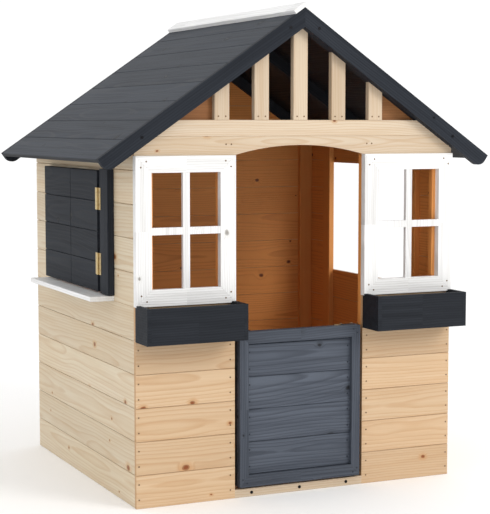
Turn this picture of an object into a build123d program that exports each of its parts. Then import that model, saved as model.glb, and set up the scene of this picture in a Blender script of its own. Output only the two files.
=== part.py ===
"""Timber playhouse: boarded walls, gabled roof, half door, four-pane window frames,
planter boxes and a pair of side shutters. Millimetres, +Z up, +X to the right seen from
the front, +Y towards the back, origin on the ground under the middle of the bounding box."""

import os
from math import cos, radians, sin, tan

from build123d import *

os.makedirs("parts", exist_ok=True)

# ---- driving dimensions -------------------------------------------------------------
WALL_WIDTH = 1000.0        # across the outside of the side walls
WALL_DEPTH = 905.0         # front face of the front boards to the back face of the back boards
COURSE = 93.0              # cover width of one tongue-and-groove board
BOARD_T = 12.0             # board thickness
JOINT_GAP = 1.0            # open joint between two boards
TONGUE_T = 4.0
TONGUE_L = 4.0
BATTEN_W = 45.0            # planed batten, wide side
BATTEN_T = 18.0            # planed batten, narrow side
PANEL_COURSES = 6          # board courses under the windows
SIDE_TOP = 1020.0          # top of the side walls, just under the roof boards

HEADER_BOTTOM = 968.0
TIE_BOTTOM = 1020.0
TIE_TOP = 1065.0
ARCH_RISE = 27.0
PANEL_WIDTH = 296.0        # one front panel beside the door opening
SLAT_PITCH = 121.0
SLAT_COUNT = 5

ROOF_PITCH = 34.3          # degrees
RIDGE_TOP = 1378.0         # top of the roof boards at the ridge
EAVE_HALF = 612.0          # from the middle to the eave
ROOF_COURSES = 8
FRONT_OVERHANG = 27.0      # front of the front barge boards ahead of the front boards
BARGE_T = 18.0
BARGE_W = 45.0
BARGE_ROUND = 26.0
CAP_W = 34.0
CAP_T = 12.0
RAFTER_T = 27.0

FRAME_RAIL = 46.0
FRAME_BAR = 20.0
FRAME_PROUD = 9.0

PLANTER_REACH = 91.0
PLANTER_BOTTOM = 463.0
PLANTER_TOP = 563.0

DOOR_GAP = 12.0
DOOR_BOTTOM = 30.0
DOOR_TOP = 473.0
DOOR_PROUD = 9.0
DOOR_STILE = 27.0
DOOR_RAIL = 34.0
DOOR_FRAME_T = 12.0
DOOR_LEDGE_T = 15.0
DOOR_FIRST_SEAM = 64.0
THRESHOLD_H = 24.0

SIDE_OPENINGS = {"left": (186.0, 732.0, 915.0), "right": (165.0, 745.0, 924.0)}
JAMB_STARTS = (154.0, 711.0)  # front edges of the inside jamb battens, from the front face
SHUTTER_PROUD = 20.0
SHUTTER_BOTTOM = 577.0
SHUTTER_TOP = 923.0
SHUTTER_SPANS = {"front": (251.0, 492.0), "back": (495.0, 750.0)}
SHUTTER_BOARDS = 4
LEDGE_W = 34.0
LEDGE_T = 15.0
POST_SPAN = (164.0, 230.0)    # proud hinge post in front of the shutters
SILL_SPAN = (169.0, 751.0)
SILL_REACH = 70.0
SILL_T = 14.0

HINGE_H = 62.0
HINGE_LEAF = 22.0
HINGE_PLATE = 1.5
KNUCKLE_R = 3.25
KNUCKLES = 5
PIN_R = 1.5
PIN_CLEAR = 0.05

EASE = 1.5                  # eased edge of planed timber
HAIRLINE = 0.15            # closed joint between two pieces of one node

NAIL_R = 2.3
NAIL_H = 0.6
SCREW_R = 4.5
SCREW_H = 1.0

# ---- places worked out from them -----------------------------------------------------
COS_P = cos(radians(ROOF_PITCH))
SIN_P = sin(radians(ROOF_PITCH))
TAN_P = tan(radians(ROOF_PITCH))
FRONT = -(PLANTER_REACH + WALL_DEPTH + BARGE_T + SCREW_H) / 2 + PLANTER_REACH
BACK = FRONT + WALL_DEPTH
HALF = WALL_WIDTH / 2
INNER = HALF - BOARD_T                      # inner face of the side boards
DOORWAY = HALF - PANEL_WIDTH                # half width of the door opening
PANEL_TOP = PANEL_COURSES * COURSE
POST_Y = FRONT + BOARD_T                    # front face of the front posts
POST_BACK = POST_Y + BATTEN_T
LOW_DROP = BARGE_W / COS_P                  # barge depth measured plumb
BOARD_DROP = BOARD_T / COS_P
SLOPE_LENGTH = EAVE_HALF / COS_P
X, Y, Z = Vector(1, 0, 0), Vector(0, 1, 0), Vector(0, 0, 1)


def roof_top(x):
    """Height of the top face of the roof boards at x from the middle."""
    return RIDGE_TOP - abs(x) * TAN_P


def roof_low(x):
    """Height of the line the gables are cut to, level with the barge boards' lower edge."""
    return roof_top(x) - LOW_DROP


def save(builder, name):
    """Label a finished piece and write its STEP file."""
    builder.part.label = name
    export_step(builder.part, f"parts/{name}.step")


def prism(plane, points, depth):
    """A flat piece with the outline drawn on a plane, depth along the plane's normal."""
    with BuildPart() as piece:
        with BuildSketch(plane):
            with BuildLine():
                Polyline(*points, close=True)
            make_face()
        extrude(amount=depth)
    return piece.part


def front_piece(points, y0, depth):
    """A flat piece outlined in X and Z, from y0 back by depth."""
    plane = Plane(origin=(0, y0, 0), x_dir=(1, 0, 0), z_dir=(0, -1, 0))
    return prism(plane, points, -depth)


def timber(x_span, y_span, z_span, grain=None, round_edges=1.5):
    """A planed length of timber, its long edges rounded when the grain axis is given."""
    with BuildPart() as piece:
        with BuildSketch(Plane.XY.offset(z_span[0])):
            with Locations(((x_span[0] + x_span[1]) / 2, (y_span[0] + y_span[1]) / 2)):
                Rectangle(x_span[1] - x_span[0], y_span[1] - y_span[0])
        extrude(amount=z_span[1] - z_span[0])
        if grain is not None:
            fillet(piece.edges().filter_by(grain), round_edges)
    return piece.part


def board(origin, up, along, width, length, groove=True, tongue=True):
    """One tongue-and-groove board; its face looks to the right of up when seen down along."""
    edge = 1.5
    top = width - JOINT_GAP
    mid = BOARD_T / 2
    half = TONGUE_T / 2
    slot = half + 0.3
    points = [(edge, 0), (top - edge, 0), (top, edge)]
    if tongue:
        points += [(top, mid - half), (top + TONGUE_L, mid - half)]
        points += [(top + TONGUE_L, mid + half), (top, mid + half)]
    points += [(top, BOARD_T), (0, BOARD_T)]
    if groove:
        points += [(0, mid + slot), (TONGUE_L + 1, mid + slot)]
        points += [(TONGUE_L + 1, mid - slot), (0, mid - slot)]
    points += [(0, edge)]
    return prism(Plane(origin=origin, x_dir=up, z_dir=along), points, length)


def wall_boards(origin, along, length, low, high):
    """All the boards of a wall between two heights, on one grid of seams from the ground."""
    pieces = []
    seams = [low]
    seams += [n * COURSE for n in range(1, 20) if low + 1 < n * COURSE < high - 1]
    seams += [high]
    for index in range(len(seams) - 1):
        last = index == len(seams) - 2
        width = seams[index + 1] - seams[index] + (JOINT_GAP if last else 0)
        start = origin + Z * seams[index]
        pieces.append(board(start, Z, along, width, length, groove=index > 0, tongue=not last))
    return pieces


def side_boards(sign, y_from, y_to, low, high):
    """Boards of one side wall between two distances from the front face."""
    along = Y if sign < 0 else -Y
    start = FRONT + (y_from if sign < 0 else y_to)
    return wall_boards(Vector(sign * HALF, start, 0), along, y_to - y_from, low, high)


def disc(point, direction, radius, height):
    """A low round head standing on a face."""
    with BuildPart() as piece:
        with BuildSketch(Plane(origin=point, z_dir=direction)):
            Circle(radius)
        extrude(amount=height)
        top = piece.faces().sort_by(Axis(point, direction))[-1]
        fillet(top.edges(), height * 0.4)
    return piece.part


def screw_head(point, direction, radius=SCREW_R, height=SCREW_H):
    """A countersunk screw's flat head with its cross recess."""
    with BuildPart() as piece:
        with BuildSketch(Plane(origin=point, z_dir=direction)):
            Circle(radius)
        extrude(amount=height)
        with BuildSketch(Plane(origin=point, z_dir=direction).offset(height)):
            Rectangle(radius * 1.1, radius * 0.24)
            Rectangle(radius * 0.24, radius * 1.1)
        extrude(amount=-height * 0.7, mode=Mode.SUBTRACT)
    return piece.part


def hinge_leaf(axis_point, reach, normal, length, own, bore_r, seat=KNUCKLE_R):
    """One leaf of a butt hinge: plate, its own knuckles and two countersunk screw holes.

    The plate runs from the pin along reach; normal points from the mounting face to the pin,
    and seat is the distance between them.
    """
    step = HINGE_H / KNUCKLES
    thickness = HINGE_PLATE
    base = axis_point - normal * seat
    with BuildPart() as piece:
        with BuildSketch(Plane(origin=base, x_dir=reach, z_dir=Z)):
            away = 1 if reach.cross(normal).Z > 0 else -1
            with Locations(((4.0 + length) / 2, away * thickness / 2)):
                Rectangle(length - 4.0, thickness)
        extrude(amount=HINGE_H)
        for knuckle in own:
            low = knuckle * step + 0.15
            with BuildSketch(Plane(origin=axis_point + Z * low, x_dir=reach, z_dir=Z)):
                Circle(KNUCKLE_R)
                with Locations((2.5, away * (thickness / 2 - seat))):
                    Rectangle(5.0, thickness)
            extrude(amount=step - 0.3)
        with BuildSketch(Plane(origin=axis_point, x_dir=reach, z_dir=Z)):
            Circle(bore_r)
        extrude(amount=HINGE_H, mode=Mode.SUBTRACT)
        for height in (HINGE_H * 0.22, HINGE_H * 0.78):
            hole = base + reach * (length * 0.62) + Z * height
            with BuildSketch(Plane(origin=hole, z_dir=normal)):
                Circle(1.9)
            extrude(amount=thickness, mode=Mode.SUBTRACT)
    return piece.part


def hinge_pin(axis_point):
    """The hinge's pin, a hair short of the knuckles at both ends."""
    with BuildPart() as piece:
        with BuildSketch(Plane(origin=axis_point + Z * 0.2, z_dir=Z)):
            Circle(PIN_R)
        extrude(amount=HINGE_H - 0.4)
    return piece.part


def leaf_screws(axis_point, reach, normal, length, thickness=HINGE_PLATE):
    """The two screws that fill one leaf's holes, heads just proud of the plate."""
    pieces = []
    for height in (HINGE_H * 0.22, HINGE_H * 0.78):
        hole = axis_point - normal * KNUCKLE_R + reach * (length * 0.62) + Z * height
        with BuildPart() as piece:
            with BuildSketch(Plane(origin=hole, z_dir=normal)):
                Circle(1.9)
            extrude(amount=thickness)
            with BuildSketch(Plane(origin=hole + normal * thickness, z_dir=normal)):
                Circle(3.0)
            extrude(amount=0.7)
            with BuildSketch(Plane(origin=hole + normal * (thickness + 0.7), z_dir=normal)):
                Rectangle(4.0, 0.8)
            extrude(amount=-0.5, mode=Mode.SUBTRACT)
        pieces.append(piece.part)
    return pieces


def mitred_frame(x_span, z_span, y0, depth, side_w, rail_w):
    """Four mitred members around a rectangle, with a hairline joint across each mitre."""
    gap = HAIRLINE
    (x0, x1), (z0, z1) = x_span, z_span
    ix0, ix1, iz0, iz1 = x0 + side_w, x1 - side_w, z0 + rail_w, z1 - rail_w
    return [
        front_piece([(x0 + gap, z0), (x1 - gap, z0), (ix1 - gap, iz0), (ix0 + gap, iz0)], y0, depth),
        front_piece([(x0 + gap, z1), (x1 - gap, z1), (ix1 - gap, iz1), (ix0 + gap, iz1)], y0, depth),
        front_piece([(x0, z0 + gap), (x0, z1 - gap), (ix0, iz1 - gap), (ix0, iz0 + gap)], y0, depth),
        front_piece([(x1, z0 + gap), (x1, z1 - gap), (ix1, iz1 - gap), (ix1, iz0 + gap)], y0, depth),
    ]


SIDES = (("left", -1), ("right", 1))

# ---- front panels ---------------------------------------------------------------------
for side, sign in SIDES:
    start_x = -DOORWAY if sign < 0 else HALF
    with BuildPart() as front_boards:
        add(wall_boards(Vector(start_x, FRONT, 0), -X, PANEL_WIDTH, 0, PANEL_TOP))
    save(front_boards, f"front_boards_{side}")

with BuildPart() as corner_posts:
    for side, sign in SIDES:
        edge = sign * (INNER - BATTEN_W / 2)
        add(timber((edge - BATTEN_W / 2, edge + BATTEN_W / 2), (POST_Y, POST_BACK),
                   (0, HEADER_BOTTOM), Axis.Z))
save(corner_posts, "front_corner_posts")

with BuildPart() as door_posts:
    for side, sign in SIDES:
        edge = sign * (DOORWAY + BATTEN_W / 2)
        add(timber((edge - BATTEN_W / 2, edge + BATTEN_W / 2), (POST_Y, POST_BACK),
                   (0, TIE_BOTTOM - 6), Axis.Z))
save(door_posts, "door_posts")

with BuildPart() as front_rails:
    for side, sign in SIDES:
        ends = sorted((sign * (DOORWAY + BATTEN_W), sign * (INNER - BATTEN_W)))
        for z0 in (0.0, PANEL_TOP - BATTEN_W):
            add(timber(ends, (POST_Y, POST_BACK), (z0, z0 + BATTEN_W), Axis.X))
save(front_rails, "front_rails")

# ---- white four-pane window frames ---------------------------------------------------------
for side, sign in SIDES:
    x_span = sorted((sign * HALF, sign * DOORWAY))
    face = FRONT - FRAME_PROUD
    with BuildPart() as window_frame:
        add(mitred_frame(x_span, (PANEL_TOP, HEADER_BOTTOM), face, BOARD_T + FRAME_PROUD,
                         FRAME_RAIL, FRAME_RAIL))
        fillet(window_frame.edges().filter_by(Axis.X).group_by(Axis.Y)[0], 1.2)
    save(window_frame, f"window_frame_{side}")

with BuildPart() as window_bars:
    for side, sign in SIDES:
        x0, x1 = sorted((sign * (HALF - FRAME_RAIL), sign * (DOORWAY + FRAME_RAIL)))
        z0, z1 = PANEL_TOP + FRAME_RAIL, HEADER_BOTTOM - FRAME_RAIL
        mid_x, mid_z, half_bar = (x0 + x1) / 2, (z0 + z1) / 2, FRAME_BAR / 2
        bar_y = (FRONT - FRAME_PROUD + 1.0, FRONT - FRAME_PROUD + 1.0 + BOARD_T)
        across = (mid_z - half_bar, mid_z + half_bar)
        add(timber((mid_x - half_bar, mid_x + half_bar), bar_y, (z0, z1)))
        add(timber((x0, mid_x - half_bar - HAIRLINE), bar_y, across))
        add(timber((mid_x + half_bar + HAIRLINE, x1), bar_y, across))
save(window_bars, "window_bars")

# ---- header with the shallow arch, tie beam and gable slats -----------------------------------
header_cut = (roof_low(0) - TIE_BOTTOM) / TAN_P
with BuildPart() as header:
    with BuildSketch(Plane(origin=(0, FRONT, 0), x_dir=(1, 0, 0), z_dir=(0, -1, 0))):
        with BuildLine():
            Polyline((-DOORWAY, HEADER_BOTTOM), (-HALF, HEADER_BOTTOM), (-HALF, roof_low(HALF)),
                     (-header_cut, TIE_BOTTOM), (header_cut, TIE_BOTTOM), (HALF, roof_low(HALF)),
                     (HALF, HEADER_BOTTOM), (DOORWAY, HEADER_BOTTOM))
            ThreePointArc((DOORWAY, HEADER_BOTTOM), (0, HEADER_BOTTOM + ARCH_RISE),
                          (-DOORWAY, HEADER_BOTTOM))
        make_face()
    extrude(amount=-BOARD_T)
    level = header.edges().filter_by(Axis.X).group_by(Axis.Z)[-1]
    chamfer(level.sort_by(Axis.Y)[0], EASE)
save(header, "header_beam")

tie_cut = (roof_low(0) - TIE_TOP) / TAN_P
with BuildPart() as tie_beam:
    add(front_piece([(-header_cut, TIE_BOTTOM), (header_cut, TIE_BOTTOM), (tie_cut, TIE_TOP),
                     (-tie_cut, TIE_TOP)], FRONT, BATTEN_T))
    chamfer(tie_beam.edges().filter_by(Axis.X).group_by(Axis.Y)[0], EASE)
save(tie_beam, "tie_beam")


def eased_slat(outline):
    """One upright gable slat with its two front edges eased."""
    with BuildPart() as slat:
        add(front_piece(outline, FRONT, BATTEN_T))
        chamfer(slat.edges().filter_by(Axis.Z).group_by(Axis.Y)[0], EASE)
    return slat.part


with BuildPart() as gable_slats:
    for index in range(SLAT_COUNT):
        middle = (index - (SLAT_COUNT - 1) / 2) * SLAT_PITCH
        x0 = middle - BATTEN_W / 2
        x1 = middle + BATTEN_W / 2
        outline = [(x0, TIE_TOP), (x1, TIE_TOP), (x1, roof_low(x1)), (x0, roof_low(x0))]
        if middle == 0:
            outline.insert(3, (0, roof_low(0)))
        add(eased_slat(outline))
save(gable_slats, "gable_slats")

slat_edge = SLAT_PITCH * (SLAT_COUNT - 1) / 2
with BuildPart() as corner_infills:
    for side, sign in SIDES:
        add(front_piece([(sign * slat_edge, TIE_BOTTOM), (sign * header_cut, TIE_BOTTOM),
                         (sign * slat_edge, roof_low(slat_edge))], FRONT + BATTEN_T, BOARD_T))
save(corner_infills, "gable_corner_infills")

# ---- threshold under the door ---------------------------------------------------------------
with BuildPart() as threshold:
    add(timber((-DOORWAY, DOORWAY), (FRONT, POST_BACK), (0, THRESHOLD_H), Axis.X, 2.0))
save(threshold, "threshold_bar")

# ---- side walls ---------------------------------------------------------------------------
for side, sign in SIDES:
    open_front, open_back, open_top = SIDE_OPENINGS[side]
    with BuildPart() as lower_boards:
        add(side_boards(sign, BOARD_T, WALL_DEPTH, 0, PANEL_TOP))
    save(lower_boards, f"{side}_boards_lower")
    with BuildPart() as front_stubs:
        add(side_boards(sign, BOARD_T, open_front, PANEL_TOP, SIDE_TOP))
    save(front_stubs, f"{side}_boards_front")
    with BuildPart() as back_stubs:
        add(side_boards(sign, open_back, WALL_DEPTH, PANEL_TOP, SIDE_TOP))
    save(back_stubs, f"{side}_boards_back")
    with BuildPart() as upper_boards:
        add(side_boards(sign, open_front, open_back, open_top, SIDE_TOP))
    save(upper_boards, f"{side}_boards_upper")

with BuildPart() as side_jambs:
    for side, sign in SIDES:
        x_span = sorted((sign * INNER, sign * (INNER - BATTEN_T)))
        for start in JAMB_STARTS:
            add(timber(x_span, (FRONT + start, FRONT + start + BATTEN_W), (0, SIDE_TOP - 8), Axis.Z))
save(side_jambs, "side_jambs")

# ---- back wall --------------------------------------------------------------------------
with BuildPart() as back_boards:
    add(wall_boards(Vector(-INNER, BACK, 0), X, 2 * INNER, 0, roof_low(0) + 5))
    add(front_piece([(-INNER, 0), (INNER, 0), (INNER, roof_low(INNER)), (0, roof_low(0)),
                     (-INNER, roof_low(INNER))], BACK - BOARD_T, BOARD_T), mode=Mode.INTERSECT)
save(back_boards, "back_boards")

with BuildPart() as back_posts:
    for side, sign in SIDES:
        edge = sign * (INNER - BATTEN_W / 2)
        add(timber((edge - BATTEN_W / 2, edge + BATTEN_W / 2),
                   (BACK - BOARD_T - BATTEN_T, BACK - BOARD_T), (0, roof_low(INNER) - 1), Axis.Z))
save(back_posts, "back_corner_posts")

# ---- roof ---------------------------------------------------------------------------------
ROOF_Y0 = FRONT - FRONT_OVERHANG + BARGE_T
ROOF_COVER = SLOPE_LENGTH / ROOF_COURSES
for side, sign in SIDES:
    up = Vector(-sign * COS_P, 0, SIN_P)
    start_y = ROOF_Y0 if sign < 0 else BACK
    along = Y if sign < 0 else -Y
    eave = Vector(sign * EAVE_HALF, start_y, roof_top(EAVE_HALF))
    with BuildPart() as roof_boards:
        for course in range(ROOF_COURSES):
            last = course == ROOF_COURSES - 1
            add(board(eave + up * (course * ROOF_COVER), up, along,
                      ROOF_COVER + (JOINT_GAP if last else 0), BACK - ROOF_Y0,
                      groove=course > 0, tongue=not last))
        with BuildSketch(Plane.XY.offset(RIDGE_TOP - 60)):
            with Locations((-sign * 50, 0)):
                Rectangle(100 + 0.2, 2 * WALL_DEPTH)
        extrude(amount=120, mode=Mode.SUBTRACT)
    save(roof_boards, f"roof_boards_{side}")

heel = HALF - BOARD_T - 1.0
with BuildPart() as rafters:
    for side, sign in SIDES:
        for y0 in (ROOF_Y0 + 0.2, (ROOF_Y0 + BACK) / 2 - RAFTER_T / 2, BACK - RAFTER_T - 0.2):
            add(front_piece([(sign * 0.2, roof_low(0.2)), (sign * heel, roof_low(heel)),
                             (sign * heel, roof_top(heel) - BOARD_DROP),
                             (sign * 0.2, roof_top(0.2) - BOARD_DROP)], y0, RAFTER_T))
save(rafters, "rafters")


def barge_board(sign, y0):
    """One sloping barge board with its rounded foot and a plumb joint at the ridge."""
    plane = Plane(origin=(0, y0, RIDGE_TOP), x_dir=(sign * COS_P, 0, -SIN_P), z_dir=Y * -sign)
    outline = [(0.1, 0), (SLOPE_LENGTH, 0), (SLOPE_LENGTH, -BARGE_W), (BARGE_W * TAN_P + 0.1, -BARGE_W)]
    with BuildPart() as barge:
        add(prism(plane, outline, -sign * BARGE_T))
        fillet(barge.edges().filter_by(Axis.Y).sort_by(Axis.Z)[0], BARGE_ROUND)
    return barge.part


for place, y0 in (("front", ROOF_Y0 - BARGE_T), ("back", BACK)):
    with BuildPart() as barge_pair:
        for side, sign in SIDES:
            add(barge_board(sign, y0))
    save(barge_pair, f"barge_boards_{place}")


def cap_board(sign):
    """One of the two boards that meet in a plumb joint over the ridge."""
    y0 = ROOF_Y0 - BARGE_T
    plane = Plane(origin=(0, y0, RIDGE_TOP), x_dir=(sign * COS_P, 0, -SIN_P), z_dir=Y * -sign)
    outline = [(HAIRLINE, 0), (CAP_W, 0), (CAP_W, CAP_T), (HAIRLINE - CAP_T * TAN_P, CAP_T)]
    with BuildPart() as cap:
        add(prism(plane, outline, -sign * (BACK + BARGE_T - y0)))
        fillet(cap.edges().filter_by(Axis.Y).sort_by(Axis.Z)[1], 2.0)
    return cap.part


with BuildPart() as ridge_cap:
    for side, sign in SIDES:
        add(cap_board(sign))
save(ridge_cap, "ridge_cap")

# ---- planter boxes ---------------------------------------------------------------------
for side, sign in SIDES:
    x_span = sorted((sign * HALF, sign * DOORWAY))
    inside = (x_span[0] + BOARD_T + HAIRLINE, x_span[1] - BOARD_T - HAIRLINE)
    y0 = FRONT - PLANTER_REACH
    with BuildPart() as planter:
        for end in ((x_span[0], x_span[0] + BOARD_T), (x_span[1] - BOARD_T, x_span[1])):
            add(timber(end, (y0, FRONT), (PLANTER_BOTTOM, PLANTER_TOP)))
        add(timber(inside, (y0, y0 + BOARD_T), (PLANTER_BOTTOM, PLANTER_TOP)))
        add(timber(inside, (y0 + BOARD_T + HAIRLINE, FRONT), (PLANTER_BOTTOM, PLANTER_BOTTOM + BOARD_T)))
        with BuildSketch(Plane.XY.offset(PANEL_TOP - 0.3)):
            with Locations(((x_span[0] + x_span[1]) / 2, FRONT)):
                Rectangle(PANEL_WIDTH + 10, 2 * FRAME_PROUD + 0.6)
        extrude(amount=PLANTER_TOP - PANEL_TOP + 5, mode=Mode.SUBTRACT)
    save(planter, f"planter_{side}")

# ---- half door ------------------------------------------------------------------------
DOOR_HALF = DOORWAY - DOOR_GAP
door_face = FRONT - DOOR_PROUD
plank_y = door_face + DOOR_FRAME_T
ledge_y = plank_y + BOARD_T
with BuildPart() as door_frame:
    add(mitred_frame((-DOOR_HALF, DOOR_HALF), (DOOR_BOTTOM, DOOR_TOP), door_face, DOOR_FRAME_T,
                     DOOR_STILE, DOOR_RAIL))
save(door_frame, "door_frame")

door_seams = [DOOR_BOTTOM]
door_seams += [DOOR_FIRST_SEAM + n * COURSE for n in range(5)]
door_seams += [DOOR_TOP]
with BuildPart() as door_boards:
    for index in range(len(door_seams) - 1):
        last = index == len(door_seams) - 2
        width = door_seams[index + 1] - door_seams[index] + (JOINT_GAP if last else 0)
        add(board(Vector(DOOR_HALF, plank_y, door_seams[index]), Z, -X, width, 2 * DOOR_HALF,
                  groove=index > 0, tongue=not last))
save(door_boards, "door_boards")

ledge_back = ledge_y + DOOR_LEDGE_T
with BuildPart() as door_ledges:
    for sign in (-1, 1):
        x_span = sorted((sign * DOOR_HALF, sign * (DOOR_HALF - BATTEN_W)))
        add(timber(x_span, (ledge_y, ledge_back), (DOOR_BOTTOM, DOOR_TOP), Axis.Z))
save(door_ledges, "door_ledges")

# the posts' and the ledges' back faces are level, so both hinge leaves lie flat
door_axis = Vector(-DOORWAY + DOOR_GAP / 2, ledge_back + KNUCKLE_R, 0)
door_hinge_lows = (DOOR_BOTTOM + 40.0, DOOR_TOP - 55.0 - HINGE_H)
with BuildPart() as door_fixed_leaves:
    for low in door_hinge_lows:
        add(hinge_leaf(door_axis + Z * low, -X, Y, HINGE_LEAF + 4, (0, 2, 4), PIN_R))
save(door_fixed_leaves, "door_hinge_fixed_leaves")
with BuildPart() as door_moving_leaves:
    for low in door_hinge_lows:
        add(hinge_leaf(door_axis + Z * low, X, Y, HINGE_LEAF + 4, (1, 3), PIN_R + PIN_CLEAR))
save(door_moving_leaves, "door_hinge_moving_leaves")

# ---- barrel bolt on the back of the door -----------------------------------------------
BOLT_R = 3.5
BOLT_Z = DOOR_TOP - 4.5
BOLT_Y = ledge_back + HINGE_PLATE + BOLT_R + 1.5
BOLT_X0 = DOOR_HALF - 45.0
BOLT_X1 = DOOR_HALF - 1.0
BOLT_TAIL = 18.0
GUIDE_W = 6.0
with BuildPart() as bolt_plate:
    add(timber((BOLT_X0, BOLT_X1), (ledge_back, ledge_back + HINGE_PLATE), (DOOR_TOP - 24, DOOR_TOP - 1)))
    for x0 in (BOLT_X0 + 2, BOLT_X1 - 1 - GUIDE_W):
        add(timber((x0, x0 + GUIDE_W), (ledge_back + HINGE_PLATE, BOLT_Y + BOLT_R + 1.5),
                   (BOLT_Z - BOLT_R - 2, BOLT_Z + BOLT_R + 2), Axis.X, 2.0))
    with BuildSketch(Plane(origin=(BOLT_X0 - 1, BOLT_Y, BOLT_Z), z_dir=X)):
        Circle(BOLT_R + 0.08)
    extrude(amount=BOLT_X1 - BOLT_X0 + 2, mode=Mode.SUBTRACT)
save(bolt_plate, "bolt_plate")

knob_x = BOLT_X0 + 2 + GUIDE_W + 3.0
with BuildPart() as bolt_rod:
    with BuildSketch(Plane(origin=(BOLT_X0 - BOLT_TAIL, BOLT_Y, BOLT_Z), z_dir=X)):
        Circle(BOLT_R)
    extrude(amount=BOLT_X1 - BOLT_X0 + BOLT_TAIL - 1)
    fillet(bolt_rod.edges().filter_by(GeomType.CIRCLE), 0.8)
    with BuildSketch(Plane(origin=(knob_x, BOLT_Y, BOLT_Z), z_dir=Y)):
        Circle(2.0)
    extrude(amount=13)
    with BuildSketch(Plane(origin=(knob_x, BOLT_Y + 11, BOLT_Z), z_dir=Y)):
        Circle(3.6)
    extrude(amount=5)
save(bolt_rod, "bolt_rod")

KEEPER_X0 = DOORWAY + 3.0
with BuildPart() as bolt_keeper:
    add(timber((KEEPER_X0, KEEPER_X0 + 14), (POST_BACK, POST_BACK + HINGE_PLATE),
               (BOLT_Z - 15, BOLT_Z + 15)))
    add(timber((KEEPER_X0 + 1, KEEPER_X0 + 13), (POST_BACK + HINGE_PLATE, BOLT_Y + BOLT_R + 2.5),
               (BOLT_Z - BOLT_R - 3, BOLT_Z + BOLT_R + 3), Axis.X, 2.5))
    with BuildSketch(Plane(origin=(KEEPER_X0 - 1, BOLT_Y, BOLT_Z), z_dir=X)):
        Circle(BOLT_R + 0.6)
    extrude(amount=20, mode=Mode.SUBTRACT)
save(bolt_keeper, "bolt_keeper")

# ---- side shutters, their post and the sill ----------------------------------------------
with BuildPart() as shutter_post:
    add(timber((-HALF - SHUTTER_PROUD, -HALF), (FRONT + POST_SPAN[0], FRONT + POST_SPAN[1]),
               (SHUTTER_BOTTOM - 2, SHUTTER_TOP + 5), Axis.Z, 2.0))
save(shutter_post, "shutter_post")

left_front, left_back, left_top = SIDE_OPENINGS["left"]
with BuildPart() as window_sill:
    add(timber((-HALF - SILL_REACH, -HALF), (FRONT + SILL_SPAN[0], FRONT + SILL_SPAN[1]),
               (PANEL_TOP, PANEL_TOP + SILL_T)))
    add(timber((-HALF, -INNER), (FRONT + left_front, FRONT + left_back),
               (PANEL_TOP, PANEL_TOP + SILL_T)))
    fillet(window_sill.edges().filter_by(Axis.Y).group_by(Axis.X)[0], 2.0)
save(window_sill, "window_sill")

board_back = -HALF - SHUTTER_PROUD + BOARD_T
shutter_cover = (SHUTTER_TOP - SHUTTER_BOTTOM) / SHUTTER_BOARDS
for leaf, (leaf_front, leaf_back) in SHUTTER_SPANS.items():
    with BuildPart() as shutter_boards:
        for index in range(SHUTTER_BOARDS):
            last = index == SHUTTER_BOARDS - 1
            start = Vector(-HALF - SHUTTER_PROUD, FRONT + leaf_front,
                           SHUTTER_BOTTOM + index * shutter_cover)
            add(board(start, Z, Y, shutter_cover + (JOINT_GAP if last else 0), leaf_back - leaf_front,
                      groove=index > 0, tongue=not last))
    save(shutter_boards, f"shutter_{leaf}_boards")
    ledges_at = (leaf_front + 6, leaf_back - 6 - LEDGE_W)
    if leaf == "back":
        ledges_at = (leaf_front + 6, left_back - 8 - LEDGE_W)
    with BuildPart() as shutter_ledges:
        for start in ledges_at:
            add(timber((board_back, board_back + LEDGE_T), (FRONT + start, FRONT + start + LEDGE_W),
                       (SHUTTER_BOTTOM + 8, left_top - 8), Axis.Z))
    save(shutter_ledges, f"shutter_{leaf}_ledges")

shutter_hinge_lows = (627.0, 812.0)
front_axis = Vector(-HALF - SHUTTER_PROUD - KNUCKLE_R, FRONT + 240.5, 0)
with BuildPart() as front_fixed:
    for low in shutter_hinge_lows:
        add(hinge_leaf(front_axis + Z * low, -Y, -X, HINGE_LEAF, (0, 2, 4), PIN_R))
save(front_fixed, "shutter_front_hinge_fixed")
with BuildPart() as front_moving:
    for low in shutter_hinge_lows:
        add(hinge_leaf(front_axis + Z * low, Y, -X, HINGE_LEAF, (1, 3), PIN_R + PIN_CLEAR))
save(front_moving, "shutter_front_hinge_moving")

# folded butt hinges between the wall face and the back of the rear leaf
fold = HINGE_LEAF - 3
back_axis = Vector((-HALF + board_back) / 2, FRONT + leaf_back + 4.0, 0)
wall_gap = abs(board_back + HALF) / 2
with BuildPart() as back_fixed:
    for low in shutter_hinge_lows:
        add(hinge_leaf(back_axis + Z * low, -Y, -X, fold, (0, 2, 4), PIN_R, wall_gap))
save(back_fixed, "shutter_back_hinge_fixed")
with BuildPart() as back_moving:
    for low in shutter_hinge_lows:
        add(hinge_leaf(back_axis + Z * low, -Y, X, fold, (1, 3), PIN_R + PIN_CLEAR, wall_gap))
save(back_moving, "shutter_back_hinge_moving")

# ---- pins and fasteners -----------------------------------------------------------------
with BuildPart() as hinge_pins:
    for low in door_hinge_lows:
        add(hinge_pin(door_axis + Z * low))
    for low in shutter_hinge_lows:
        add(hinge_pin(front_axis + Z * low))
        add(hinge_pin(back_axis + Z * low))
save(hinge_pins, "hinge_pins")

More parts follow.
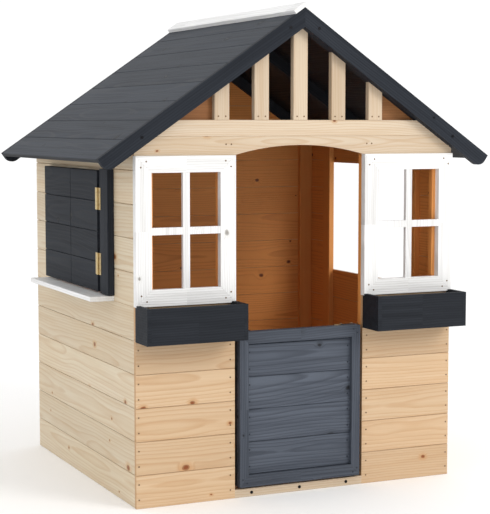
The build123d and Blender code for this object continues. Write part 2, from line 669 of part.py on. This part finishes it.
with BuildPart() as fixed_screws:
    for low in door_hinge_lows:
        add(leaf_screws(door_axis + Z * low, -X, Y, HINGE_LEAF + 4))
    for low in shutter_hinge_lows:
        add(leaf_screws(front_axis + Z * low, -Y, -X, HINGE_LEAF))
save(fixed_screws, "hinge_screws_house")
with BuildPart() as door_screws:
    for low in door_hinge_lows:
        add(leaf_screws(door_axis + Z * low, X, Y, HINGE_LEAF + 4))
save(door_screws, "hinge_screws_door")
with BuildPart() as leaf_screw_set:
    for low in shutter_hinge_lows:
        add(leaf_screws(front_axis + Z * low, Y, -X, HINGE_LEAF))
save(leaf_screw_set, "hinge_screws_shutter")

with BuildPart() as dark_screws:
    for offset in (-152.0, 0.0, 152.0):
        add(screw_head(Vector(offset, FRONT, 12), -Y))
    for sign in (-1, 1):
        for along_slope in (69.0, SLOPE_LENGTH - 135.0):
            x = sign * (along_slope * COS_P - BARGE_W / 2 * SIN_P)
            z = RIDGE_TOP - along_slope * SIN_P - BARGE_W / 2 * COS_P
            add(screw_head(Vector(x, ROOF_Y0 - BARGE_T, z), -Y))
            add(screw_head(Vector(x, BACK + BARGE_T, z), Y))
save(dark_screws, "dark_screws")

NAIL_INSET = 14.0
NAIL_PAIR = (COURSE * 0.27, COURSE * 0.73)
with BuildPart() as wall_nails:
    for side, sign in SIDES:
        for x in (sign * (HALF - 8.0), sign * (DOORWAY + NAIL_INSET)):
            for course in range(PANEL_COURSES - 1):
                for lift in NAIL_PAIR:
                    add(disc(Vector(x, FRONT, course * COURSE + lift), -Y, NAIL_R, NAIL_H))
        for x in (sign * (DOORWAY + 10.0), sign * (DOORWAY + 26.0)):
            add(disc(Vector(x, FRONT, HEADER_BOTTOM + 30), -Y, NAIL_R, NAIL_H))
    for index in range(SLAT_COUNT):
        middle = (index - (SLAT_COUNT - 1) / 2) * SLAT_PITCH
        for x in (middle - 11, middle + 11):
            add(disc(Vector(x, FRONT, TIE_TOP + 10), -Y, NAIL_R, NAIL_H))
save(wall_nails, "nails_front")

with BuildPart() as frame_nails:
    for side, sign in SIDES:
        x0, x1 = sorted((sign * HALF, sign * DOORWAY))
        y = FRONT - FRAME_PROUD
        for corner_x, inward in ((x0, 1), (x1, -1)):
            for corner_z, upward in ((PANEL_TOP, 1), (HEADER_BOTTOM, -1)):
                add(disc(Vector(corner_x + inward * 31, y, corner_z + upward * 15), -Y, NAIL_R, NAIL_H))
                add(disc(Vector(corner_x + inward * 15, y, corner_z + upward * 31), -Y, NAIL_R, NAIL_H))
save(frame_nails, "nails_windows")

with BuildPart() as planter_nails:
    for side, sign in SIDES:
        x0, x1 = sorted((sign * HALF, sign * DOORWAY))
        for x, facing in ((x0, -X), (x1, X)):
            for z in (PLANTER_BOTTOM + 14, PLANTER_TOP - 14):
                add(disc(Vector(x, FRONT - PLANTER_REACH + 6, z), facing, NAIL_R, NAIL_H))
save(planter_nails, "nails_planters")

with BuildPart() as door_nails:
    for sign in (-1, 1):
        for z, lift in ((DOOR_BOTTOM, 1), (DOOR_TOP, -1)):
            add(disc(Vector(sign * (DOOR_HALF - 9), door_face, z + lift * 22), -Y, NAIL_R, NAIL_H))
            add(disc(Vector(sign * (DOOR_HALF - 22), door_face, z + lift * 11), -Y, NAIL_R, NAIL_H))
        for index in range(1, 5):
            for lift in (22.0, 70.0):
                add(disc(Vector(sign * (DOOR_HALF - DOOR_STILE - 8), plank_y, door_seams[index] + lift),
                         -Y, NAIL_R, NAIL_H))
save(door_nails, "nails_door")
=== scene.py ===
"""Timber playhouse: a material for each CAD node, the studio floor, light and camera."""
import math
from types import SimpleNamespace

import bpy
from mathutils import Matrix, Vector


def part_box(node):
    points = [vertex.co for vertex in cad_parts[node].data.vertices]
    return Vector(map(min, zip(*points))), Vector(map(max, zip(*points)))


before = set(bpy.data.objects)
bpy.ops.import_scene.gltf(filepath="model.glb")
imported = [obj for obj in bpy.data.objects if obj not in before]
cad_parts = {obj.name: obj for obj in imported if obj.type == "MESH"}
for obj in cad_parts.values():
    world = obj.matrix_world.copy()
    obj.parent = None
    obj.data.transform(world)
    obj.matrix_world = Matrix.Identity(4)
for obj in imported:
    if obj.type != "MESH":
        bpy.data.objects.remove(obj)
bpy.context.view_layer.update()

# ---- dimensions that the patterns follow, in metres ----------------------------------
COURSE = 0.093                 # cover width of one wall board
SKIN = 0.0115                  # deeper than this behind a wall's outside is indoors
HALF = 0.5                     # from the middle to the outside of a side wall
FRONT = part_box("front_boards_left")[0].y
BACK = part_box("back_boards")[1].y
PANEL_W = 0.296
PANEL_MID = HALF - PANEL_W / 2
PITCH = math.radians(34.3)
EAVE = 0.612                   # from the middle to the eave
ROOF_COVER = EAVE / math.cos(PITCH) / 8
BEAM_START, BEAM_PERIOD = 0.969, 0.051
DOOR_FIRST_SEAM = 0.064
SHUTTER_BOTTOM, SHUTTER_COVER = 0.577, 0.0865
PLANTER_END = 0.0121           # thickness of a planter's end board and its joint

# mitred frames: middle, half width, stile width, bottom, top, rail width
WINDOW_FRAME = (PANEL_MID, PANEL_W / 2, 0.046, 0.558, 0.968, 0.046)
DOOR_FRAME = (0.0, 0.192, 0.027, 0.030, 0.473, 0.034)
# boxes: middle, and half the width between the two end boards
PLANTER_BOX = (PANEL_MID, PANEL_W / 2 - PLANTER_END)
BOX_MID_Z = 0.6                # above this, a box's end boards count as another piece

# ---- the softwood pattern ------------------------------------------------------------
# noise scales and knot cells per metre: along, across and through the grain
DRIFT = (1.3, 1.2, 1.0)
WANDER = (5.0, 14.0, 8.0)
FIBRE = (9.0, 620.0, 620.0)
STREAK = (2.2, 70.0, 70.0)
BLOTCH = (3.0, 9.0, 9.0)
KNOT_CELLS = (6.8, 9.5, 0.0)
KNOT_CHANCE = 0.38             # share of the cells that hold a knot
KNOT_SIZES = (0.022, 0.082)    # smallest and largest radius, in cells
PITH_SPREAD = 0.13             # how far across from the board's middle the pith may lie
PITH_DEPTH = (0.012, 0.06)     # how far behind the face it may lie
LATE_WOOD = ((0.0, 0.05), (0.55, 0.25), (0.86, 1.0), (0.93, 0.75), (1.0, 0.05))
# steps that give each board and piece a number of its own
ID_SIDE, ID_COURSE, ID_UPRIGHT, ID_HALF, ID_OUTER = 11.3, 1.37, 5.1, 2.7, 1.9
UPRIGHTS_PER_X, UPRIGHTS_PER_Y, ID_UPRIGHT_Y = 3.1 * 2.7, 3.1, 3.3
LENGTHS_PER_Y, ID_LENGTH_Y = 1.3, 2.3

# ---- studio --------------------------------------------------------------------------
FLOOR_SIZE, FLOOR_WHITE, FLOOR_ROUGH = 60.0, 0.97, 0.9
WORLD_STRENGTH = 1.06
KEY_PLACE, KEY_AIM = (3.2, -5.2, 3.8), (0.0, 0.0, 0.7)
KEY_SIZE, KEY_POWER, KEY_COLOUR = 2.6, 160.0, (1.0, 0.97, 0.92)
CAMERA_PLACE = (-1.8932, FRONT - 3.7409, 1.0532)
CAMERA_TILT, CAMERA_TURN = math.radians(84.87), math.radians(-24.70)
CAMERA_LENS, CAMERA_SENSOR = 103.63, 36.0


# ---- node helpers --------------------------------------------------------------------
class Nodes:
    """Short calls for building one material's node tree."""

    def __init__(self, name):
        self.mat = bpy.data.materials.new(name)
        self.mat.use_nodes = True
        self.tree = self.mat.node_tree
        self.tree.nodes.clear()
        self.out = self.tree.nodes.new("ShaderNodeOutputMaterial")
        self.bsdf = self.tree.nodes.new("ShaderNodeBsdfPrincipled")
        self.link(self.bsdf.outputs[0], self.out.inputs[0])

    def link(self, a, b):
        self.tree.links.new(a, b)

    def put(self, socket, value):
        if isinstance(value, bpy.types.NodeSocket):
            self.link(value, socket)
        else:
            socket.default_value = value

    def node(self, kind, **inputs):
        n = self.tree.nodes.new(kind)
        for key, value in inputs.items():
            self.put(n.inputs[key], value)
        return n

    def math(self, op, a, b=0.5):
        n = self.tree.nodes.new("ShaderNodeMath")
        n.operation = op
        self.put(n.inputs[0], a)
        self.put(n.inputs[1], b)
        return n.outputs[0]

    def add(self, a, b):
        return self.math("ADD", a, b)

    def sub(self, a, b):
        return self.math("SUBTRACT", a, b)

    def mul(self, a, b):
        return self.math("MULTIPLY", a, b)

    def vmath(self, op, a, b):
        n = self.tree.nodes.new("ShaderNodeVectorMath")
        n.operation = op
        self.put(n.inputs[0], a)
        self.put(n.inputs["Scale" if op == "SCALE" else 1], b)
        return n.outputs[0]

    def mix(self, factor, a, b, blend="MIX"):
        n = self.tree.nodes.new("ShaderNodeMix")
        n.data_type = "RGBA"
        n.blend_type = blend
        self.put(n.inputs[0], factor)
        self.put(n.inputs[6], a)
        self.put(n.inputs[7], b)
        return n.outputs[2]

    def dim(self, tone, level):
        """The tone times a grey value."""
        return self.mix(1.0, tone, self.vector(level, level, level), "MULTIPLY")

    def vector(self, x, y, z):
        return self.node("ShaderNodeCombineXYZ", X=x, Y=y, Z=z).outputs[0]

    def parts(self, vector):
        return self.node("ShaderNodeSeparateXYZ", Vector=vector).outputs

    def ramp(self, value, stops):
        """A grey for each value, through stops of (place, grey)."""
        n = self.tree.nodes.new("ShaderNodeValToRGB")
        els = n.color_ramp.elements
        els[0].position, els[0].color = stops[0][0], grey(stops[0][1])
        els[1].position, els[1].color = stops[-1][0], grey(stops[-1][1])
        for place, level in stops[1:-1]:
            els.new(place).color = grey(level)
        self.put(n.inputs[0], value)
        return n.outputs[0]

    def noise(self, vector, scale=1.0, detail=3.0, rough=0.5):
        n = self.node("ShaderNodeTexNoise", Vector=vector, Scale=scale, Detail=detail,
                      Roughness=rough)
        return n.outputs[0]

    def remap(self, value, a, b, c=0.0, d=1.0, smooth=False):
        n = self.tree.nodes.new("ShaderNodeMapRange")
        n.interpolation_type = "SMOOTHSTEP" if smooth else "LINEAR"
        for socket, v in zip(n.inputs, (value, a, b, c, d)):
            self.put(socket, v)
        return n.outputs[0]

    def bump(self, height, strength, distance):
        n = self.node("ShaderNodeBump", Strength=strength, Distance=distance, Height=height)
        self.put(self.bsdf.inputs["Normal"], n.outputs[0])


def grey(level):
    return (level, level, level, 1.0)


def srgb(r, g, b):
    """Linear colour from 0-255 display values."""
    out = []
    for v in (r, g, b):
        v /= 255.0
        out.append(v / 12.92 if v <= 0.04045 else ((v + 0.055) / 1.055) ** 2.4)
    return tuple(out)


# ---- tones ---------------------------------------------------------------------------
def scaled(tones, factor):
    """The same set of tones, darker or tinted by a factor per channel."""
    out = {}
    for key, value in tones.items():
        if key == "light":
            out[key] = tuple(tuple(c * f for c, f in zip(t, factor)) for t in value)
        else:
            out[key] = tuple(c * f for c, f in zip(value, factor))
    return out


PINE = {
    "light": (srgb(238, 214, 176), srgb(232, 202, 160), srgb(240, 220, 190)),
    "late": srgb(205, 160, 108),
    "knot": srgb(150, 84, 38),
    "halo": srgb(216, 160, 98),
}
SIDE_PINE = scaled(PINE, (0.80, 0.87, 0.97))
FRONT_PINE = scaled(PINE, (0.73, 0.67, 0.64))
BEAM_PINE = scaled(PINE, (0.70, 0.73, 0.82))
# painted shade: warm, darker tones for the wood inside the house, standing in for its dim,
# bounce-lit shade
INDOOR_SHADE_PINE = {
    "light": (srgb(228, 154, 84), srgb(218, 142, 72), srgb(234, 165, 96)),
    "late": srgb(186, 108, 48),
    "knot": srgb(104, 48, 18),
    "halo": srgb(190, 110, 50),
}
# painted shade: the gable's corner infills sit in the barge boards' shadow, so their wood is
# darkened
INFILL_SHADE_PINE = scaled(INDOOR_SHADE_PINE, (0.38, 0.38, 0.42))
SLATE = {
    "light": ((0.070, 0.082, 0.106), (0.054, 0.064, 0.084), (0.086, 0.099, 0.124)),
    "late": (0.026, 0.031, 0.043),
    "knot": (0.010, 0.011, 0.014),
    "halo": (0.036, 0.042, 0.054),
}
WHITE = {
    "light": (srgb(242, 242, 242), srgb(237, 237, 238), srgb(245, 245, 245)),
    "late": srgb(206, 205, 203),
    "knot": srgb(150, 146, 140),
    "halo": srgb(214, 212, 208),
}


def slate(k):
    """The dark paint, k times as light."""
    return scaled(SLATE, (k, k, k))


def opaque(colour):
    return colour + (1.0,)


# ---- softwood ------------------------------------------------------------------------
def axes_of(m, grain):
    """Object coordinates, and the same place along (u), across (v) and through (w) the grain.

    end is the part of the surface direction that points along the grain, to find sawn ends.
    """
    coord = m.node("ShaderNodeTexCoord")
    x, y, z = m.parts(coord.outputs["Object"])
    normal = m.parts(coord.outputs["Normal"])
    ax = m.math("ABSOLUTE", x)
    at = SimpleNamespace(x=x, y=y, z=z, ax=ax, down=normal[2])
    cos_p, sin_p = math.cos(PITCH), math.sin(PITCH)
    if grain == "X":
        at.u, at.v, at.w, at.end = x, z, y, normal[0]
    elif grain == "Y":
        at.u, at.v, at.w, at.end = y, z, x, normal[1]
    elif grain == "Z":
        at.u, at.v, at.w, at.end = z, m.add(x, y), m.sub(x, y), normal[2]
    else:
        out = m.add(m.mul(ax, sin_p), m.mul(z, cos_p))
        if grain == "SLOPE":
            at.u, at.v, at.w = m.sub(m.mul(ax, cos_p), m.mul(z, sin_p)), out, y
            at.end = None
        else:
            at.u, at.v, at.w = y, m.math("DIVIDE", m.sub(EAVE, ax), cos_p), out
            at.end = normal[1]
    return at


def turn_grain(m, at, upright, other_u, other_v):
    """Turn the grain of some pieces of a frame or box, where upright is 1."""
    keep = m.sub(1.0, upright)
    at.u = m.add(m.mul(at.u, keep), m.mul(other_u, upright))
    at.v = m.add(m.mul(at.v, keep), m.mul(other_v, upright))
    at.end = None


def mitred_stiles(m, at, shape):
    """1 on the stiles of a mitred frame, 0 on its rails."""
    centre, half_w, stile_w, low, high, rail_w = shape
    off = m.math("ABSOLUTE", m.sub(at.ax, centre)) if centre else at.ax
    edge_x = m.math("DIVIDE", m.sub(half_w, off), stile_w)
    edge_z = m.math("MINIMUM", m.sub(at.z, low), m.sub(high, at.z))
    upright = m.math("LESS_THAN", edge_x, m.math("DIVIDE", edge_z, rail_w))
    turn_grain(m, at, upright, at.z, at.x)
    return upright


def box_ends(m, at, shape):
    """1 on the end boards of a box, 0 on its long boards."""
    centre, half_w = shape
    upright = m.math("GREATER_THAN", m.math("ABSOLUTE", m.sub(at.ax, centre)), half_w)
    turn_grain(m, at, upright, at.y, at.z)
    return upright


def piece_number(m, at, grain, period, start, sided, upright, middle_z):
    """A number that is the same all over one board, and the place across that board."""
    across = at.v
    number = m.mul(m.math("SIGN", at.x), ID_SIDE if sided else 0.0)
    if period:
        from_start = m.sub(at.v, start)
        step = m.math("FLOOR", m.math("DIVIDE", from_start, period))
        number = m.add(number, m.mul(step, ID_COURSE))
        across = m.sub(from_start, m.mul(m.add(step, 0.5), period))
    elif grain == "Z":
        number = m.math("ROUND", m.mul(at.x, UPRIGHTS_PER_X))
        row = m.math("ROUND", m.mul(at.y, UPRIGHTS_PER_Y))
        number = m.add(number, m.mul(row, ID_UPRIGHT_Y))
    else:
        row = m.math("ROUND", m.mul(at.y, LENGTHS_PER_Y))
        number = m.add(number, m.mul(row, ID_LENGTH_Y))
    if upright is not None:
        number = m.add(number, m.mul(upright, ID_UPRIGHT))
        number = m.add(number, m.mul(m.math("GREATER_THAN", at.z, middle_z), ID_HALF))
        number = m.add(number, m.mul(m.math("GREATER_THAN", at.ax, PANEL_MID), ID_OUTER))
    return number, across


def knot_pattern(m, place, knots):
    """Masks for the knots' dark cores, the stained wood around them and their rims."""
    wobble = m.noise(place, 60.0, 2.0)
    wobble = m.vmath("SCALE", m.vector(wobble, wobble, 0.0), 0.05)
    cell = m.tree.nodes.new("ShaderNodeTexVoronoi")
    cell.voronoi_dimensions = "2D"
    cell.feature = "F1"
    m.put(cell.inputs["Scale"], 1.0)
    m.put(cell.inputs["Randomness"], 0.85)
    m.put(cell.inputs["Vector"], m.vmath("ADD", m.vmath("MULTIPLY", place, KNOT_CELLS), wobble))
    chance = m.parts(cell.outputs["Color"])
    present = m.math("GREATER_THAN", chance[0], 1.0 - KNOT_CHANCE * knots)
    size = m.remap(m.math("POWER", chance[1], 2.0), 0.0, 1.0, *KNOT_SIZES)
    dist = m.math("DIVIDE", cell.outputs["Distance"], size)
    off_rim = m.math("ABSOLUTE", m.sub(dist, 0.95))
    return (m.mul(m.remap(dist, 0.5, 1.15, 1.0, 0.0, True), present),
            m.mul(m.remap(dist, 0.8, 3.2, 1.0, 0.0, True), present),
            m.mul(m.remap(off_rim, 0.0, 0.3, 1.0, 0.0, True), present))


def growth_rings(m, place, across, rnd, halo, ring):
    """Late wood, 0 to 1, in rings around a pith line that wanders along the board."""
    drift = m.noise(m.vmath("MULTIPLY", place, DRIFT), detail=2.0)
    wander = m.noise(m.vmath("MULTIPLY", place, WANDER))
    radius_v = m.sub(across, m.mul(m.sub(rnd[0], 0.5), PITH_SPREAD))
    radius_w = m.remap(rnd[1], 0.0, 1.0, *PITH_DEPTH)
    radius = m.math("SQRT", m.add(m.mul(radius_v, radius_v), m.mul(radius_w, radius_w)))
    for bend, amount in ((drift, 0.055), (wander, 0.006), (halo, 0.006)):
        radius = m.add(radius, m.mul(bend, amount))
    return m.ramp(m.math("FRACT", m.math("DIVIDE", radius, ring)), LATE_WOOD)


def indoor_shade_mask(m, at):
    """1 on surfaces behind the outside faces of the walls, which get the painted indoor shade.
    """
    between = m.mul(m.math("GREATER_THAN", at.y, FRONT + SKIN),
                    m.math("LESS_THAN", at.y, BACK - SKIN))
    return m.mul(m.math("LESS_THAN", at.ax, HALF - SKIN), between)


def indoor_shade_tone(m, tones, rnd, late, blotch, streak, core):
    """Painted shade: the warmer, darker wood tone that stands in for the dim light inside the
    house.
    """
    first, second, third = (opaque(t) for t in tones["light"])
    tone = m.mix(late, first, opaque(tones["late"]))
    tone = m.mix(m.mul(m.add(rnd[2], blotch), 0.4), tone, second)
    tone = m.mix(m.mul(streak, 0.5), tone, third)
    return m.mix(core, tone, opaque(tones["knot"]))


def timber_material(name, grain, tones, period=None, start=0.0, mitre=None, box=None,
                    paint=0.0, rough=0.6, knots=1.0, ring=0.007, inside=None,
                    gloss=0.35, under=None, sided=True):
    """Softwood with growth rings, fibre, knots and end grain; paint covers part of it."""
    m = Nodes(name)
    at = axes_of(m, grain)
    upright, middle_z = None, BOX_MID_Z
    if mitre is not None:
        upright, middle_z = mitred_stiles(m, at, mitre), (mitre[3] + mitre[4]) / 2
    elif box is not None:
        upright = box_ends(m, at, box)
    number, across = piece_number(m, at, grain, period, start, sided, upright, middle_z)
    per_board = m.tree.nodes.new("ShaderNodeTexWhiteNoise")
    per_board.noise_dimensions = "1D"
    m.put(per_board.inputs["W"], number)
    rnd = m.parts(per_board.outputs["Color"])
    shift = m.vmath("SCALE", per_board.outputs["Color"], 9.0)
    place = m.vmath("ADD", m.vector(at.u, at.v, at.w), shift)

    core, halo, rim = knot_pattern(m, place, knots)
    late = growth_rings(m, place, across, rnd, halo, ring)
    fibre = m.noise(m.vmath("MULTIPLY", place, FIBRE), detail=2.0, rough=0.6)
    streak = m.noise(m.vmath("MULTIPLY", place, STREAK), rough=0.55)
    blotch = m.noise(m.vmath("MULTIPLY", place, BLOTCH), detail=2.0)

    late_tone = opaque(tones["late"])
    tone = m.mix(rnd[2], opaque(tones["light"][0]), opaque(tones["light"][1]))
    tone = m.mix(m.mul(blotch, 0.8), tone, opaque(tones["light"][2]))
    tone = m.mix(m.mul(late, 0.42 + 0.2 * paint), tone, late_tone)
    tone = m.mix(m.mul(m.remap(streak, 0.42, 0.72), 0.30 + 0.35 * paint), tone, late_tone)
    tone = m.dim(tone, m.mul(m.remap(fibre, 0.2, 0.8, 0.95, 1.05),
                             m.remap(rnd[0], 0.0, 1.0, 0.90, 1.05)))
    tone = m.mix(m.mul(halo, 0.55), tone, opaque(tones["halo"]))
    tone = m.mix(core, tone, opaque(tones["knot"]))
    tone = m.mix(m.mul(rim, 0.45), tone, opaque(tuple(c * 0.5 for c in tones["knot"])))
    if at.end is not None:
        cut = m.remap(m.math("ABSOLUTE", at.end), 0.75, 0.9)
        tone = m.mix(m.mul(cut, 0.55 - 0.4 * paint), tone, late_tone)
    # painted shade: surfaces inside the house take the warmer, darker indoor tones
    if inside is not None:
        tone = m.mix(indoor_shade_mask(m, at), tone, indoor_shade_tone(m, inside, rnd, late, blotch, streak, core))
    # painted shade: faces that point downwards, such as the roof boards' underside, are darkened
    # by this factor
    if under is not None:
        underside_mask = m.math("LESS_THAN", at.down, -0.3)
        tone = m.dim(tone, m.remap(underside_mask, 0.0, 1.0, 1.0, under))
    m.put(m.bsdf.inputs["Base Color"], tone)

    grain_rough = m.remap(late, 0.0, 1.0, rough + 0.05, rough - 0.06)
    m.put(m.bsdf.inputs["Roughness"], m.add(grain_rough, m.mul(core, -0.12)))
    height = m.mul(late, -0.5)
    for layer, amount in ((fibre, 0.55), (core, 0.5), (streak, 0.4)):
        height = m.add(height, m.mul(layer, amount))
    m.bump(height, 0.5 if paint else 0.35, 0.0012)
    m.bsdf.inputs["Specular IOR Level"].default_value = gloss
    return m.mat


def metal_material(name, colour, rough, spots):
    """Plated metal with faint polishing streaks and dull spots."""
    m = Nodes(name)
    coord = m.node("ShaderNodeTexCoord").outputs["Object"]
    streak = m.noise(m.vmath("MULTIPLY", coord, (900.0, 900.0, 60.0)))
    dull = m.remap(m.noise(coord, 260.0, 4.0, 0.6), 0.5, 0.72)
    dark = opaque(tuple(c * 0.35 for c in colour))
    m.put(m.bsdf.inputs["Base Color"], m.mix(m.mul(dull, spots), opaque(colour), dark))
    m.bsdf.inputs["Metallic"].default_value = 1.0
    m.put(m.bsdf.inputs["Roughness"], m.remap(streak, 0.3, 0.7, rough - 0.06, rough + 0.1))
    m.bump(streak, 0.2, 0.0002)
    return m.mat


# ---- materials on the CAD nodes ------------------------------------------------------
def natural(name, grain, tones, **options):
    return timber_material("softwood_" + name, grain, tones, **options)


def dark(name, grain, lightness, gloss, **options):
    return timber_material("painted_" + name, grain, slate(lightness), paint=1.0, gloss=gloss,
                           **options)


def white(name, grain, **options):
    return timber_material("white_" + name, grain, WHITE, paint=1.0, rough=0.45, **options)


boards_front = natural("front_boards", "X", FRONT_PINE, period=COURSE, inside=INDOOR_SHADE_PINE)
boards_back = natural("back_boards", "X", SIDE_PINE, period=COURSE, inside=INDOOR_SHADE_PINE,
                      sided=False)
boards_side = natural("side_boards", "Y", SIDE_PINE, period=COURSE, inside=INDOOR_SHADE_PINE)
infill = natural("gable_infill", "X", INFILL_SHADE_PINE, knots=0.6)
batten_x = natural("batten_x", "X", BEAM_PINE, ring=0.005, knots=0.8, inside=INDOOR_SHADE_PINE)
beam = natural("beam", "X", BEAM_PINE, period=BEAM_PERIOD, start=BEAM_START, ring=0.005,
               knots=1.5, sided=False)
slats = natural("slats", "Z", BEAM_PINE, ring=0.005, knots=0.6)
batten_z = natural("batten_z", "Z", BEAM_PINE, ring=0.005, knots=0.6, inside=INDOOR_SHADE_PINE)
# painted shade: the roof boards' undersides are darkened to 0.3 of their tone
dark_roof = dark("roof_boards", "ROOF", 0.62, 0.16, period=ROOF_COVER, knots=1.4, under=0.3)
dark_slope = dark("slope_timber", "SLOPE", 0.38, 0.08)
# dark paint on the rafters, made darker still as painted shade to match the shaded underside of
# the roof
rafter_paint_with_shade = dark("rafters", "SLOPE", 0.3, 0.2, rough=0.7)
dark_planter = dark("planter", "X", 0.28, 0.12, box=PLANTER_BOX)
dark_door = dark("door_boards", "X", 1.2, 0.22, period=COURSE, start=DOOR_FIRST_SEAM,
                 sided=False)
dark_door_frame = dark("door_frame", "X", 1.0, 0.22, mitre=DOOR_FRAME)
dark_shutter = dark("shutter_boards", "Y", 0.34, 0.1, period=SHUTTER_COVER,
                    start=SHUTTER_BOTTOM)
dark_upright = dark("upright", "Z", 0.34, 0.1)
white_frame = white("window_frame", "X", mitre=WINDOW_FRAME)
white_upright = white("bars", "Z", knots=0.4)
white_long = white("long_board", "Y")
brass = metal_material("satin_brass", srgb(196, 174, 128), 0.34, 0.35)
nail_metal = metal_material("nail_heads", srgb(120, 98, 76), 0.45, 0.7)
painted_nail = metal_material("painted_nail_heads", srgb(58, 62, 70), 0.5, 0.4)
screw_black = metal_material("black_screws", srgb(34, 34, 37), 0.4, 0.3)

LOOKS = {
    "front_boards_left": boards_front, "front_boards_right": boards_front,
    "back_boards": boards_back, "gable_corner_infills": infill, "front_rails": batten_x,
    "header_beam": beam, "tie_beam": beam, "threshold_bar": beam,
    "front_corner_posts": batten_z, "door_posts": batten_z, "back_corner_posts": batten_z,
    "side_jambs": batten_z, "gable_slats": slats,
    "roof_boards_left": dark_roof, "roof_boards_right": dark_roof, "rafters": rafter_paint_with_shade,
    "barge_boards_front": dark_slope, "barge_boards_back": dark_slope,
    "planter_left": dark_planter, "planter_right": dark_planter,
    "door_boards": dark_door, "door_frame": dark_door_frame, "door_ledges": dark_upright,
    "shutter_post": dark_upright, "shutter_front_boards": dark_shutter,
    "shutter_back_boards": dark_shutter, "shutter_front_ledges": dark_upright,
    "shutter_back_ledges": dark_upright,
    "window_frame_left": white_frame, "window_frame_right": white_frame,
    "window_bars": white_upright, "window_sill": white_long, "ridge_cap": white_long,
    "nails_front": nail_metal, "nails_windows": nail_metal, "nails_door": painted_nail,
    "nails_planters": painted_nail, "dark_screws": screw_black,
}
for name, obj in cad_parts.items():
    # the side walls' boards are the only other timber; the rest is hinges and the bolt
    look = LOOKS.get(name, boards_side if "_boards_" in name else brass)
    for slot_item in obj.material_slots:
        slot_item.material = look

# ---- floor, light and camera ---------------------------------------------------------
bpy.ops.mesh.primitive_plane_add(size=FLOOR_SIZE, location=(0.0, 0.0, 0.0))
floor = bpy.context.object
floor.name = "studio_floor"
floor_look = Nodes("studio_floor_white")
floor_look.bsdf.inputs["Base Color"].default_value = grey(FLOOR_WHITE)
floor_look.bsdf.inputs["Roughness"].default_value = FLOOR_ROUGH
floor.data.materials.append(floor_look.mat)

world = bpy.data.worlds.new("studio")
bpy.context.scene.world = world
world.use_nodes = True
background = world.node_tree.nodes["Background"]
background.inputs["Color"].default_value = grey(1.0)
background.inputs["Strength"].default_value = WORLD_STRENGTH

key_data = bpy.data.lights.new("key", "AREA")
key_data.size = KEY_SIZE
key_data.energy = KEY_POWER
key_data.color = KEY_COLOUR
key = bpy.data.objects.new("key", key_data)
key.location = KEY_PLACE
key.rotation_euler = (Vector(KEY_AIM) - Vector(KEY_PLACE)).to_track_quat("-Z", "Y").to_euler()
bpy.context.scene.collection.objects.link(key)

camera_data = bpy.data.cameras.new("camera")
camera_data.lens = CAMERA_LENS
camera_data.sensor_width = CAMERA_SENSOR
camera = bpy.data.objects.new("camera", camera_data)
camera.location = CAMERA_PLACE
camera.rotation_euler = (CAMERA_TILT, 0.0, CAMERA_TURN)
bpy.context.scene.collection.objects.link(camera)
bpy.context.scene.camera = camera
bpy.context.scene.view_settings.view_transform = "Standard"
